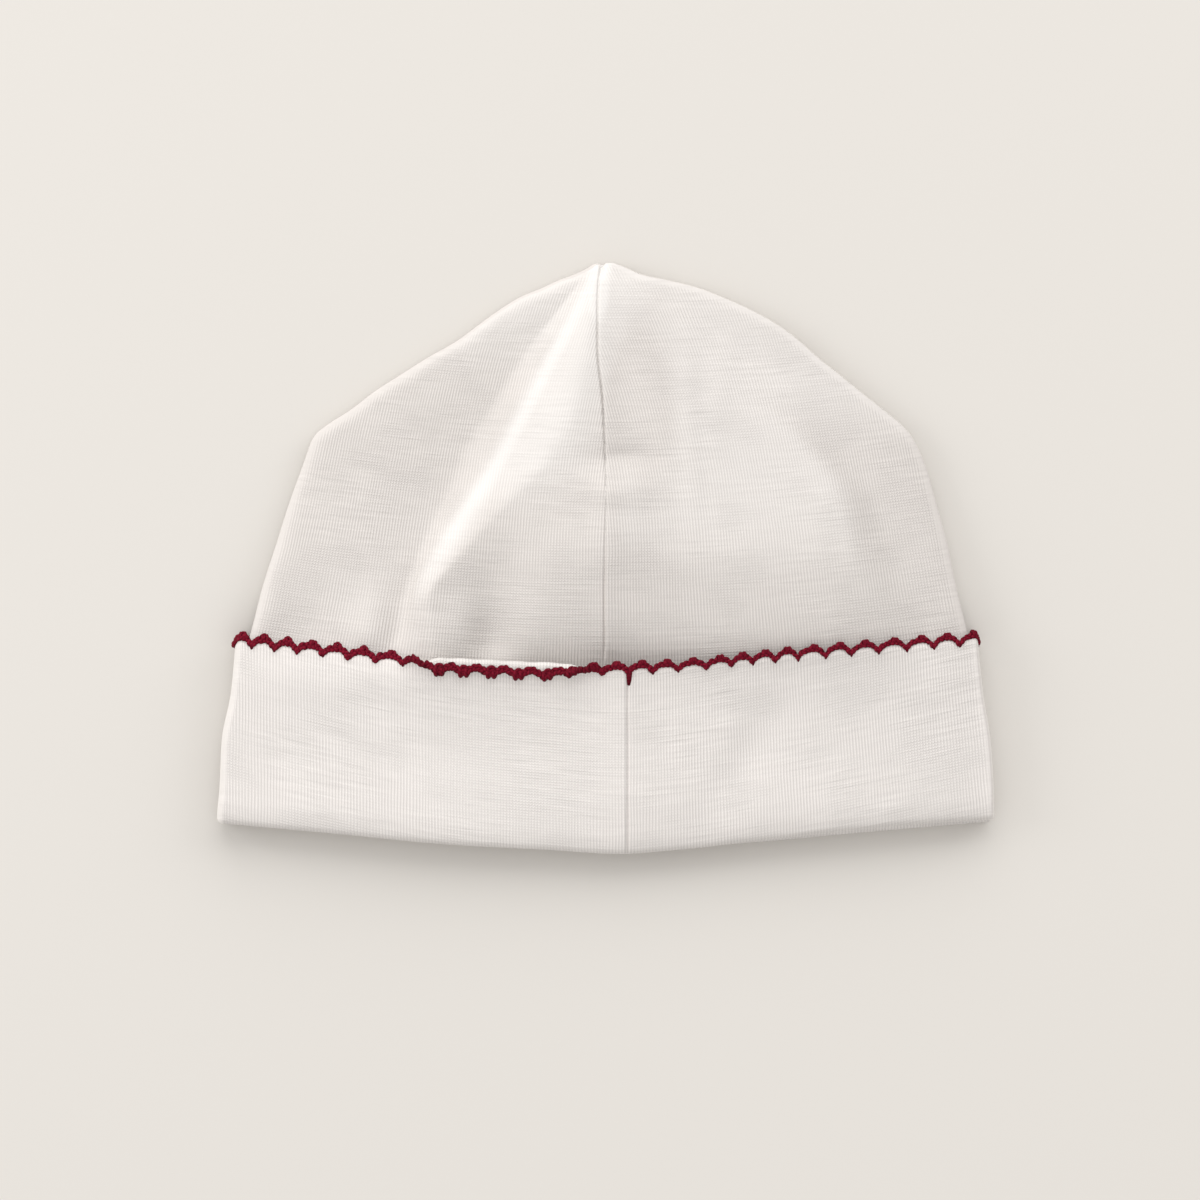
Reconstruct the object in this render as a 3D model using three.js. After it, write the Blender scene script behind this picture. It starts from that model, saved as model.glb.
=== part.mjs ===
// A baby's beanie of white cotton jersey with a turned-up cuff and a crocheted
// picot edging. It lies flat on its back, with its seam side up.
//
// X runs across the hat, Y from its mouth (-Y) to its top (+Y), and Z up from
// the surface that it lies on. All sizes are in millimetres. Tables are in the
// hat's drafting frame, and ORIGIN moves them to the middle of its footprint.

import * as THREE from 'three';
import { mergeVertices } from 'three/addons/utils/BufferGeometryUtils.js';

// ---------------------------------------------------------------- dimensions

const ORIGIN = { x: -0.2, y: 0.1 };

const WALL = 1.2; // doubled jersey
const GAP = 0.3; // air between pieces that lie on each other
const FRONT_STEP = WALL + GAP; // from the crown's face up to the cuff's face
const BACK_STEP = 2.0; // from the cuff's face up to the crown's face, underneath

const CUFF_RIM = 3.6; // radius of the cuff's rolled side edges
const CROWN_RIM = 2.6; // radius of the crown's rolled edges
const FOLD_RADIUS = WALL + GAP / 2; // outside of the fold at the mouth
const TUCK = 5; // height of the cuff's inner leg above its fold
const EDGE_GAP = 0.6; // between that leg and the crown's lower edge

const HALF_WIDTH = 84; // of the hat just above its fold
const APEX = { x: -0.9, y: 64.9, z: CROWN_RIM };
const HOLLOW_TOP = 57; // where the space for the head ends
const CROWN_SEAM_STEP = 0.8; // width of the step where the crown's seam is pressed over
const CROWN_WELT = { right: 0.5, rightWidth: 5, left: -0.4, leftWidth: 3 };
const CUFF_SEAM = 4.3;
const CUFF_SEAM_STEP = 0.6;
const CUFF_WELT = { left: 0.5, leftWidth: 4 };

const CORD_RADIUS = 0.8; // crochet cord of the edging
const SCALLOPS = 29; // on the front, and as many on the back
const SCALLOP_HEIGHT = 1.7;
const SCALLOP_STEPS = 4;
const SCALLOP_FULLNESS = 0.8; // exponent of the scallops' sine: under 1 is fuller
const EDGING_HALF = 78.5; // from the seam to the cuff's side, along the edging
const EDGING_DEPTH = { front: 0.3, behind: CORD_RADIUS + 0.1 }; // in the cuff's thickness

const COTTON = { color: 0xece7e0, roughness: 0.92, metalness: 0 };
const CROCHET = { color: 0x7a1f38, roughness: 0.85, metalness: 0 };

// Side edges of the crown.
const CROWN_SIDES = [
  { y: -62, left: -83.4, right: 83.0 },
  { y: -40, left: -82.2, right: 82.0 },
  { y: -29, left: -80.4, right: 80.6 },
  { y: -19, left: -78.7, right: 79.5 },
  { y: -14, left: -77.4, right: 78.5 },
  { y: -7, left: -75.7, right: 76.8 },
  { y: 3, left: -72.6, right: 74.8 },
  { y: 12.8, left: -69.5, right: 72.2 },
  { y: 20.5, left: -66.7, right: 70.0 },
  { y: 26.5, left: -64.2, right: 67.5 },
  { y: 28.5, left: -62.4, right: 65.6 },
  { y: 35, left: -53.0, right: 58.0 },
  { y: 45, left: -37.9, right: 46.3 },
  { y: 55, left: -22.7, right: 31.8 },
  { y: 60, left: -13.0, right: 19.0 },
  { y: 62.5, left: -7.0, right: 8.4 },
  { y: 64.4, left: -3.0, right: 2.8 },
];

// Side edges of the cuff.
const CUFF_SIDES = [
  { y: -62, left: -85.6, right: 85.2 },
  { y: -56, left: -85.5, right: 85.1 },
  { y: -40, left: -84.4, right: 84.2 },
  { y: -29, left: -82.4, right: 82.5 },
  { y: -14, left: -81.2, right: 81.4 },
];

// Lower and upper edge of the cuff, across the hat.
const CUFF_EDGES = [
  { x: -84, fold: -57.7, top: -18.8 },
  { x: -74, fold: -58.6, top: -19.7 },
  { x: -45, fold: -61.4, top: -23.3 },
  { x: -23, fold: -63.2, top: -25.4 },
  { x: 0, fold: -64.7, top: -26.2 },
  { x: 8, fold: -64.1, top: -26.1 },
  { x: 31, fold: -61.9, top: -24.4 },
  { x: 60, fold: -58.5, top: -21.2 },
  { x: 84, fold: -57.2, top: -18.6 },
];

// Lie of the crown's upper face at each level: the line of its seam, the valley
// and the crest of its long fold, where it starts to fall to the right edge,
// how high it stands above its rolled edge, and how deep the left panel sags.
const CROWN_LIE = [
  { y: -60, seam: -0.4, valley: -46, crest: -38, fall: 54, loft: 6.0, sag: 4.5 },
  { y: -34, seam: -0.4, valley: -46, crest: -38, fall: 54, loft: 7.0, sag: 4.5 },
  { y: -24, seam: -0.4, valley: -46, crest: -37.5, fall: 54, loft: 8.0, sag: 4.3 },
  { y: -14, seam: -0.4, valley: -46.5, crest: -36, fall: 54, loft: 10.6, sag: 3.6 },
  { y: -6, seam: -0.4, valley: -46.5, crest: -33, fall: 54, loft: 12.2, sag: 2.5 },
  { y: 4, seam: -0.3, valley: -46, crest: -28, fall: 53.5, loft: 12.9, sag: 2.2 },
  { y: 13, seam: -0.1, valley: -42.5, crest: -17.5, fall: 51, loft: 12.2, sag: 1.9 },
  { y: 35, seam: -0.8, valley: -27.7, crest: -5, fall: 40, loft: 8.4, sag: 1.3 },
  { y: 50, seam: -1.9, valley: -17.5, crest: -2.6, fall: 22, loft: 4.6, sag: 0.8 },
  { y: 60, seam: -1.7, valley: -8, crest: -1.6, fall: 6, loft: 1.6, sag: 0.3 },
  { y: 65, seam: -0.9, valley: -3, crest: -1, fall: 1, loft: 0, sag: 0 },
];

const DOME = 2.4; // exponent of the cuff's plain rise across its width
const FALL = 1.5; // exponent of the crown's fall to its right edge
const SAG_REACH = 1 / 3; // part of the left panel in which it comes down to its sag

// -------------------------------------------------------------------- curves

// A smooth curve through one column of a table, without overshoot.
function curve(rows, at, column) {
  const xs = rows.map((row) => row[at]);
  const ys = rows.map((row) => row[column]);
  const last = rows.length - 1;
  const pitch = (i) => (ys[i + 1] - ys[i]) / (xs[i + 1] - xs[i]);
  const slopes = rows.map((row, i) => {
    if (i === 0) return pitch(0);
    if (i === last) return pitch(last - 1);
    const before = pitch(i - 1);
    const after = pitch(i);
    return before * after <= 0 ? 0 : (2 * before * after) / (before + after);
  });
  return (x) => {
    if (x <= xs[0]) return ys[0] + (x - xs[0]) * slopes[0];
    if (x >= xs[last]) return ys[last] + (x - xs[last]) * slopes[last];
    const i = xs.findIndex((value) => value > x) - 1;
    const width = xs[i + 1] - xs[i];
    const t = (x - xs[i]) / width;
    return (
      (1 + 2 * t) * (1 - t) ** 2 * ys[i] +
      t * (1 - t) ** 2 * width * slopes[i] +
      t * t * (3 - 2 * t) * ys[i + 1] +
      t * t * (t - 1) * width * slopes[i + 1]
    );
  };
}

const lerp = THREE.MathUtils.lerp;
const clamp = THREE.MathUtils.clamp;
const smoothstep = THREE.MathUtils.smoothstep;

const seamLine = curve(CROWN_LIE, 'y', 'seam');
const valleyLine = curve(CROWN_LIE, 'y', 'valley');
const crestLine = curve(CROWN_LIE, 'y', 'crest');
const fallLine = curve(CROWN_LIE, 'y', 'fall');
const loft = curve(CROWN_LIE, 'y', 'loft');
const sag = curve(CROWN_LIE, 'y', 'sag');
const cuffLeft = curve(CUFF_SIDES, 'y', 'left');
const cuffRight = curve(CUFF_SIDES, 'y', 'right');
const foldEdge = curve(CUFF_EDGES, 'x', 'fold');
const topEdge = curve(CUFF_EDGES, 'x', 'top');
const crownLeft = curve(CROWN_SIDES, 'y', 'left');
const crownRight = curve(CROWN_SIDES, 'y', 'right');

// ------------------------------------------------------------- the two layers

// Each layer is a flattened tube: its seam, side edges, rim radius, face and back.
const TUCKED_RIM = CUFF_RIM - WALL - GAP;
const PLAIN_HEIGHT = BACK_STEP + 2 * TUCKED_RIM;

const crown = {
  seam: seamLine,
  seamStep: CROWN_SEAM_STEP,
  left: crownLeft,
  right: crownRight,
  rim: (y) => lerp(TUCKED_RIM, CROWN_RIM, smoothstep(y, -14, -4)),
  back: (x, y) => BACK_STEP * (1 - aboveCuff(x, y, 4, 14)),
  face: (x, y) => crown.back(x, y) + 2 * crown.rim(y) + foldedRise(x, y) + crownWelt(x, y),
};

const cuff = {
  seam: () => CUFF_SEAM,
  seamStep: CUFF_SEAM_STEP,
  left: cuffLeft,
  right: cuffRight,
  rim: () => CUFF_RIM,
  back: () => 0,
  face: (x, y) => PLAIN_HEIGHT + plainRise(x, y) + FRONT_STEP + cuffWelt(x),
};

// Grows from 0 to 1 between two heights above the cuff's upper edge.
function aboveCuff(x, y, low, high) {
  return smoothstep(y - topEdge(x), low, high);
}

// How far the hat rises across its width without its folds.
function plainRise(x, y) {
  const left = crown.left(y) + crown.rim(y);
  const right = crown.right(y) - crown.rim(y);
  const across = clamp((2 * x - left - right) / (right - left), -1, 1);
  return loft(y) * (1 - Math.abs(across) ** DOME);
}

// The same with the crown's long fold, its sagging left panel and its right flank.
function foldedRise(x, y) {
  const left = crown.left(y) + crown.rim(y);
  const right = crown.right(y) - crown.rim(y);
  const descent = clamp((x - fallLine(y)) / (right - fallLine(y)), 0, 1);
  const flat = loft(y) * (1 - descent ** FALL);
  const top = lerp(plainRise(x, y), flat, aboveCuff(x, y, 6, 36));

  const panel = clamp((x - left) / (valleyLine(y) - left), 0, 1);
  const sagging = Math.min(top, sag(y) * Math.sin((Math.PI / 2) * Math.min(1, panel / SAG_REACH)));
  const flank = smoothstep(x, valleyLine(y), crestLine(y));
  const folded = lerp(sagging, top, flank);
  return lerp(plainRise(x, y), folded, aboveCuff(x, y, -4, 6));
}

// The crown's seam allowance is pressed to the right, which stands higher.
function crownWelt(x, y) {
  const away = x - seamLine(y);
  const height = away > 0 ? CROWN_WELT.right : CROWN_WELT.left;
  const width = away > 0 ? CROWN_WELT.rightWidth : CROWN_WELT.leftWidth;
  const faded = aboveCuff(x, y, 4, 9) * smoothstep(64.5 - y, 0, 6);
  return height * Math.exp(-((away / width) ** 2)) * faded;
}

// The cuff's is pressed to the left.
function cuffWelt(x) {
  const away = x - CUFF_SEAM;
  const height = away > 0 ? 0 : CUFF_WELT.left;
  return height * Math.exp(-((away / CUFF_WELT.leftWidth) ** 2));
}

// ------------------------------------------------------------------- stations

// Places around a flattened tube: along its face from left to right, around its
// right edge, along its back, and around its left edge.
function stations({ halfFace, back, edge }) {
  const list = [];
  for (let i = 0; i <= halfFace; i++) list.push({ side: 'faceLeft', t: i / halfFace });
  for (let i = 0; i <= halfFace; i++) list.push({ side: 'faceRight', t: i / halfFace });
  for (let i = 1; i <= edge; i++) list.push({ side: 'right', t: i / edge });
  for (let i = 1; i <= back; i++) list.push({ side: 'back', t: 1 - i / back });
  for (let i = 1; i < edge; i++) list.push({ side: 'left', t: i / edge });
  return list;
}

// How far across the hat a station is, from -1 at the left to 1 at the right.
function fraction(station) {
  if (station.side === 'faceLeft') return station.t - 1;
  if (station.side === 'faceRight') return station.t;
  if (station.side === 'right') return 1;
  if (station.side === 'left') return -1;
  return 2 * station.t - 1;
}

// How much an outline's slant stretches its rolled edge across the hat.
function slant(edge, y) {
  const step = 0.25;
  const slope = (edge(y + step) - edge(y - step)) / (2 * step);
  return Math.hypot(1, slope);
}

// The point of a layer at a station and a level, sunk into it by inset.
function layerPoint(layer, station, y, inset) {
  const left = layer.left(y);
  const right = layer.right(y);
  const leftSlant = slant(layer.left, y);
  const rightSlant = slant(layer.right, y);
  const rim = Math.min(layer.rim(y), (0.49 * (right - left)) / (leftSlant + rightSlant));
  const start = left + rim * leftSlant;
  const end = right - rim * rightSlant;
  const seam = clamp(layer.seam(y), start, end);
  const sink = Math.min(inset, rim - 0.1);

  if (station.side === 'faceLeft') {
    const x = lerp(start, seam, station.t);
    return new THREE.Vector3(x, y, layer.face(x, y) - inset);
  }
  if (station.side === 'faceRight') {
    const first = Math.min(seam + layer.seamStep, end);
    const x = lerp(first, end, station.t);
    return new THREE.Vector3(x, y, layer.face(x, y) - inset);
  }
  if (station.side === 'back') {
    const x = lerp(start, end, station.t);
    return new THREE.Vector3(x, y, layer.back(x, y) + inset);
  }
  const onRight = station.side === 'right';
  const hinge = onRight ? end : start;
  const top = layer.face(hinge, y);
  const bottom = layer.back(hinge, y);
  const turn = Math.PI * (onRight ? station.t : 1 - station.t);
  const reach = (rim - sink) * (onRight ? rightSlant : -leftSlant) * Math.sin(turn);
  const height = (top + bottom) / 2 + ((top - bottom) / 2 - inset) * Math.cos(turn);
  return new THREE.Vector3(hinge + reach, y, height);
}

// -------------------------------------------------------------------- surfaces

// Collects faces between rows of points, and makes one closed geometry of them.
class Skin {
  constructor() {
    this.points = [];
  }

  // A band between two closed rows, whose outside is to the left of the step
  // from row a to row b, seen along the row.
  band(a, b) {
    for (let i = 0; i < a.length; i++) {
      const j = (i + 1) % a.length;
      this.points.push(a[i], a[j], b[j], a[i], b[j], b[i]);
    }
  }

  // A fan from a closed row to one point.
  fan(row, tip) {
    for (let i = 0; i < row.length; i++) {
      this.points.push(row[i], row[(i + 1) % row.length], tip);
    }
  }

  geometry() {
    const raw = new THREE.BufferGeometry().setFromPoints(this.points);
    return mergeVertices(raw, 1e-4);
  }
}

// Joins a list of rows into a ring-shaped skin that closes on itself.
function closedLoft(rows) {
  const skin = new Skin();
  rows.forEach((row, i) => skin.band(row, rows[(i + 1) % rows.length]));
  return skin.geometry();
}

// --------------------------------------------------------------------- pieces

// Below the line STRAIGHT a level of the crown is a part of the way down to its
// lower edge, which follows the cuff's fold. Above it a level is a height.
const STRAIGHT = -14;
const DOWN_PARTS = [1, 0.82, 0.62, 0.42, 0.3, 0.22, 0.14, 0.06];
const OUTER_LEVELS = [-14, -10, -5, 0, 5, 10, 16, 21, 25, 27, 28.2, 30, 34, 40, 46, 51, 55, 58, 60.5, 62.2,
  63.5, 64.4];
const INNER_LEVELS = [-14, -8, 0, 8, 15, 21, 26, 30, 38, 46, 52, HOLLOW_TOP];

function downTo(part, across) {
  const lowerEdge = foldEdge(HALF_WIDTH * across) + FOLD_RADIUS + TUCK + EDGE_GAP;
  return lerp(STRAIGHT, lowerEdge, part);
}

// The crown: a petal-cut bag with one open end, sewn up the middle of its face.
function crownGeometry() {
  const around = stations({ halfFace: 12, back: 10, edge: 4 });
  const low = (inset) => DOWN_PARTS.map((part) =>
    around.map((station) => layerPoint(crown, station, downTo(part, fraction(station)), inset)));
  const high = (levels, inset) => levels.map((level) =>
    around.map((station) => layerPoint(crown, station, level, inset)));

  const outside = [...low(0), ...high(OUTER_LEVELS, 0)];
  const inside = [...low(WALL), ...high(INNER_LEVELS, WALL)];
  const skin = new Skin();
  for (let i = 1; i < outside.length; i++) skin.band(outside[i - 1], outside[i]);
  skin.fan(outside.at(-1), new THREE.Vector3(APEX.x, APEX.y, APEX.z));
  for (let i = 1; i < inside.length; i++) skin.band(inside[i], inside[i - 1]);
  const end = inside.at(-1);
  const middle = end.reduce((sum, point) => sum.add(point), new THREE.Vector3()).divideScalar(end.length);
  middle.y += 0.5;
  skin.fan(end.toReversed(), middle);
  skin.band(inside[0], outside[0]);
  return skin.geometry();
}

// The cuff: a band turned up at the mouth. Each step of its section has a height
// above the fold, as a part of the leg or in millimetres, and a depth.
function cuffGeometry() {
  const around = stations({ halfFace: 16, back: 16, edge: 6 });
  const legParts = [1, 0.86, 0.7, 0.5, 0.3, 0.15];
  const fold = FOLD_RADIUS;
  const section = [];
  for (const part of legParts) section.push({ part, rise: fold, depth: 0 });
  for (const turn of [0, 0.25, 0.5, 0.75, 1]) {
    const angle = Math.PI * turn;
    section.push({ part: 0, rise: fold - fold * Math.sin(angle), depth: fold - fold * Math.cos(angle) });
  }
  section.push({ part: 0, rise: fold + TUCK, depth: 2 * fold });
  section.push({ part: 0, rise: fold + TUCK, depth: 2 * fold - WALL });
  section.push({ part: 0, rise: fold, depth: 2 * fold - WALL });
  section.push({ part: 0, rise: fold - GAP / 2, depth: fold });
  section.push({ part: 0, rise: fold, depth: WALL });
  for (const part of legParts.toReversed()) section.push({ part, rise: fold, depth: WALL });

  const rows = section.map(({ part, rise, depth }) =>
    around.map((station) => {
      const x = HALF_WIDTH * fraction(station);
      const base = foldEdge(x) + rise;
      const y = lerp(base, topEdge(x), part);
      return layerPoint(cuff, station, y, depth);
    }),
  );
  return closedLoft(rows.toReversed());
}

// The edging: one cord that runs in scallops round the cuff's upper edge.
function edgingGeometry() {
  const sides = 6;
  const steps = 2 * SCALLOPS * SCALLOP_STEPS;
  const path = [];
  for (let i = 0; i < steps; i++) path.push(edgingPoint(i / steps));
  const rows = path.map((point, i) => {
    const next = path[(i + 1) % steps];
    const before = path[(i + steps - 1) % steps];
    const along = next.clone().sub(before).normalize();
    const across = new THREE.Vector3(0, 1, 0).cross(along).normalize();
    const up = along.clone().cross(across);
    return Array.from({ length: sides }, (unused, k) => {
      const angle = (2 * Math.PI * k) / sides;
      return point
        .clone()
        .addScaledVector(across, CORD_RADIUS * Math.cos(angle))
        .addScaledVector(up, CORD_RADIUS * Math.sin(angle));
    });
  });
  return closedLoft(rows);
}

// The cord's middle at a part of the way round, from the left edge over the face.
function edgingPoint(part) {
  const seat = edgingStation(part);
  const x = HALF_WIDTH * fraction(seat);
  const phase = (part * 2 * SCALLOPS) % 1;
  const rise = CORD_RADIUS + GAP + SCALLOP_HEIGHT * Math.sin(Math.PI * phase) ** SCALLOP_FULLNESS;
  return layerPoint(cuff, seat, topEdge(x) + rise, seat.depth);
}

// Even steps round the cuff: its face, its right edge, its back and its left edge.
function edgingStation(part) {
  const half = EDGING_HALF;
  const bend = (Math.PI * CUFF_RIM) / 2;
  const total = 4 * half + 4 * bend;
  const { front, behind } = EDGING_DEPTH;
  let at = (part * total + bend) % total;
  if (at < 2 * bend) {
    const t = at / (2 * bend);
    return { side: 'left', t, depth: lerp(behind, front, t) };
  }
  at -= 2 * bend;
  if (at < half) return { side: 'faceLeft', t: at / half, depth: front };
  at -= half;
  if (at < half) return { side: 'faceRight', t: at / half, depth: front };
  at -= half;
  if (at < 2 * bend) {
    const t = at / (2 * bend);
    return { side: 'right', t, depth: lerp(front, behind, t) };
  }
  at -= 2 * bend;
  return { side: 'back', t: 1 - at / (2 * half), depth: behind };
}

// ------------------------------------------------------------------- assembly

function piece(name, geometry, finish) {
  geometry.computeVertexNormals();
  const mesh = new THREE.Mesh(geometry, new THREE.MeshStandardMaterial(finish));
  mesh.name = name;
  return mesh;
}

const beanie = new THREE.Group();
beanie.add(piece('crown', crownGeometry(), COTTON));
beanie.add(piece('cuff', cuffGeometry(), COTTON));
beanie.add(piece('picot_edging', edgingGeometry(), CROCHET));
beanie.position.set(-ORIGIN.x, -ORIGIN.y, 0);

export default beanie;
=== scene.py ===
"""A baby's beanie of white slub jersey with a crocheted picot edging, lying flat.

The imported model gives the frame. This script makes the cloth, the knit and the
crochet at full detail, in the same place. Lengths are in millimetres in the
hat's drafting frame (X across, Y up to its top, Z up from the table) until
to_metres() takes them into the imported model's frame.
"""

import math
from collections import namedtuple
from types import SimpleNamespace as Named

import bpy
import numpy as np
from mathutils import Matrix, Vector


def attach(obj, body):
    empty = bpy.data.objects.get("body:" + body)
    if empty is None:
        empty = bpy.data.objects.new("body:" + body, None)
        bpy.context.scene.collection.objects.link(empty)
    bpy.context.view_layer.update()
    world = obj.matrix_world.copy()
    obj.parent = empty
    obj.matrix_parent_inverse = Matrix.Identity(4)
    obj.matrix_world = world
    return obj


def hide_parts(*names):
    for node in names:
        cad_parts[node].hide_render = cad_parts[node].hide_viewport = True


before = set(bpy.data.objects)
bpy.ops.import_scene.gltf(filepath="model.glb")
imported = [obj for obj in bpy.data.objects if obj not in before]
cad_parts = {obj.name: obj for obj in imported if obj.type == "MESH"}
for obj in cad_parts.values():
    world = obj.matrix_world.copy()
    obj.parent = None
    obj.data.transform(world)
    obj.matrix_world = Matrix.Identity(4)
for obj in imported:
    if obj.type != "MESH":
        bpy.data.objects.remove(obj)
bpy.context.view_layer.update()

# ---- dimensions, mm

ORIGIN = np.array([-0.2, 0.1, 0.0])  # middle of the hat's footprint
MM = 0.001

WALL = 1.2  # doubled jersey
GAP = 0.3  # air between pieces that lie on each other
FRONT_STEP = WALL + GAP  # from the crown's face up to the cuff's face
BACK_STEP = 2.0  # from the cuff's face up to the crown's, underneath
CUFF_RIM = 2.0  # radius of the cuff's rolled side edges
CROWN_RIM = 0.7  # radius of the crown's rolled edges
CROWN_RIM_THINS = (-14, -4)  # where it passes from TUCKED_RIM to CROWN_RIM
TUCKED_RIM = CUFF_RIM - WALL - GAP
FOLD_RADIUS = WALL + GAP / 2
TUCK = 5.0  # height of the cuff's inner leg above its fold
EDGE_GAP = 0.6  # between that leg and the crown's lower edge
HALF_WIDTH = 84.0  # of the hat at its mouth
LEAST_HALF = 0.1  # half the thickness that an inner face leaves inside a layer
MOST_SUNK = 0.8  # share of a rim's radius that an inner face may take up

TOP = 64.9  # highest point of the crown
NOTCH = Named(x=-1.0, width=0.55, depth=1.2)  # dip between the two lobes at the top

# Side edges of the crown.
CROWN_SIDES = [
    # y, left, right
    (-62, -83.4, 83),
    (-40, -82.2, 82),
    (-29, -80.4, 80.8),
    (-19, -78.7, 79.6),
    (-13.9, -77.4, 78.5),
    (-6.9, -75.7, 76.8),
    (3, -72.6, 74.8),
    (12.8, -69.5, 72.2),
    (20.5, -66.7, 70),
    (25.8, -64.8, 67.6),
    (27.4, -63.8, 66.6),
    (29.2, -61.6, 65),
    (32.7, -56.2, 60.8),
    (36.9, -50.7, 55.5),
    (40.4, -45.2, 51.2),
    (43.9, -39.7, 46.8),
    (48, -32.6, 42.2),
    (51.2, -28.3, 37.9),
    (54.8, -23.3, 31.4),
    (57.6, -18.7, 25.1),
    (59.4, -14.3, 20.4),
    (61, -10.9, 14.2),
    (62.4, -7.2, 7.8),
    (63.8, -4.2, 4.6),
    (64.6, -2.9, 2.6),
    (64.9, -2.2, 1.6),
]

# Side edges of the cuff.
CUFF_SIDES = [
    # y, left, right
    (-62, -85.5, 85.1),
    (-56, -85.4, 85),
    (-50.7, -84.9, 84.9),
    (-40, -84.4, 84.2),
    (-29, -82.3, 82.5),
    (-20, -81.5, 81.6),
    (-14, -81.1, 81.3),
]

# Lower and upper edge of the cuff, across the hat, in front and behind.
CUFF_EDGES = [
    # x, fold, back_fold, top
    (-84, -57.7, -57.7, -18.3),
    (-74, -58.6, -58.4, -19.6),
    (-56, -60.3, -59.9, -21.6),
    (-34, -62.5, -61.8, -24),
    (-12, -63.8, -63, -25.1),
    (3, -64.7, -63.6, -24.9),
    (14, -63.9, -63.4, -24.4),
    (31, -61.9, -62.3, -22.7),
    (53, -59.3, -60.2, -20.8),
    (72, -57.6, -58.5, -19.2),
    (84, -57, -57.4, -18.2),
]

# Lie of the upper face at each level, as places across the hat and heights
# above BASE: its left edge, the left panel, the valley beside the long fold, the
# fold's steep flank and its crest, the seam, the plain right panel, the brow
# where it falls away to the right, the foot of that fall, and its right edge.
SECTIONS = [
    # y, left, panel_x, panel, valley_x, valley, flank_x, flank, crest_x, crest,
    #    seam_x, seam, plain_x, plain, brow_x, brow, foot_x, foot, right
    (-60, -0.2, -66, 0.3, -50, 0.5, -43, 0.6, -34, 0.8, -0.4, 0.3, 30, 0.4, 58, 0.5, 74, 0.2, -0.3),
    (-52, -0.4, -66, 0.2, -50, 0.4, -43, 0.6, -34, 0.8, -0.4, 1.1, 30, 1.1, 58, 0.6, 74, 0.1, -0.5),
    (-43, -0.4, -66, 0, -50, 0.2, -43, 0.3, -34, 0.5, -0.4, 1.2, 30, 1, 58, 0.5, 74, 0.1, -0.5),
    (-34, -0.1, -66, 0.4, -50, 0.7, -43, 1.1, -34, 1.6, -0.4, 1.6, 30, 1.2, 58, 0.9, 74, 0.4, -0.4),
    (-26, 0.3, -66, 1.1, -50, 1.5, -43.5, 2.3, -36, 3.3, -0.4, 2.8, 32, 2.3, 57, 2, 72, 1.3, 0.1),
    (-16, 0, -64, 0, -46, -0.5, -42.5, 2.6, -37.5, 5.5, -0.4, 6, 36, 5.7, 58, 4.6, 69.5, 2, 0.4),
    (-9, 0, -62, -0.3, -44.5, -0.9, -42, 3, -38.3, 6.6, -0.4, 7.4, 38, 6.9, 56, 6.1, 68, 2.4, 0.6),
    (2, 0.1, -58, 0.2, -41, -0.6, -36.9, 3.4, -30, 7.6, -0.2, 8.9, 38, 8.1, 52.5, 7.6, 63, 2.8, 0.7),
    (12.8, 0.3, -55, 0.6, -36.5, -0.5, -30.3, 3.6, -20, 8.3, -0.1, 8.3, 36, 7.6, 50, 7.4, 59, 2.6, 0.7),
    (23.8, 0.4, -50, 0.6, -32, -0.2, -23.3, 3.5, -10, 8.2, -0.3, 7.7, 30, 6.6, 42, 6.1, 52.5, 2, 0.6),
    (34.7, 0.4, -40, 0.5, -25, -0.1, -17.6, 3.5, -6, 7.8, -0.8, 7.2, 20, 5.7, 31, 4.7, 45, 1.7, 0.5),
    (45.7, 0.3, -28, 0.3, -18, -0.1, -12, 2.8, -4.2, 6.4, -1.9, 6.1, 12, 4.6, 22, 3.2, 30, 1.2, 0.4),
    (54.4, 0.2, -16, 0.3, -11, 0.2, -7.4, 2.5, -3.2, 4.7, -1.9, 4.6, 6, 4.2, 13, 2.8, 18, 1.1, 0.3),
    (60, 0.1, -8, 0.4, -6.5, 0.5, -4.6, 1.9, -2.5, 3.1, -1.7, 3.1, 2.5, 2.9, 6, 2, 9, 0.9, 0.2),
    (65, 0, -2, 0, -1.8, 0, -1.6, 0, -1.4, 0, -1.1, 0, 0, 0, 0.3, 0, 0.6, 0, 0),
]
BASE = Named(under_cuff=7.0, above=4.0, sinks=(-24, 20))
# Shapes grow in over ranges of heights above the cuff's upper edge.
BACK_RISES = (4, 14)
DENTS_SHOW = (-2, 6)
PRESSED_BELOW = (-4, 0)
# The cloth rolls over its folded edges.
ROLL = Named(left=0.75, right=0.3, width=2.8, shows=(0, 6))
FOLD_ROLL = Named(depth=1.0, width=5.0)

EDGE_FADE = 8.0  # dents end this far from the side edges
LEAST_PITCH = 0.05  # between two places of one section

# Small folds and dents of the crown's face: middle, half-lengths along and
# across, turn of the long direction from the x axis, and height.
DENTS = [
    # x, y, along, across, degrees, height
    (-69, -17, 7, 6, 0, -0.8),
    (-51.5, -15, 9, 4.6, 80, 2.1),
    (-25, -5.5, 9, 8, 50, -2.6),
    (-25, -16.5, 5.5, 7, 0, -3),
    (-35, -9, 4.5, 5.5, 0, -0.9),
    (2, 22, 7, 2.1, 0, -0.8),
    (2.5, 15, 8, 3.6, 0, 1.6),
    (2.5, 8, 9, 8, 0, 1.7),
    (18.3, 26, 20, 2.4, 92, 0.4),
    (48.5, 12, 7, 2.2, 130, 0.4),
    (53, 1, 5, 2, 90, 0.15),
    (24.5, 37, 12, 3.2, 80, 0.3),
]
CUFF_DENTS = [
    # x, y, along, across, degrees, height
    (29.4, -45.1, 15, 5, 58, -0.8),
    (36, -49.4, 17, 12, 58, -0.5),
    (-71, -48, 9, 5, 80, -0.35),
]

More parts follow.
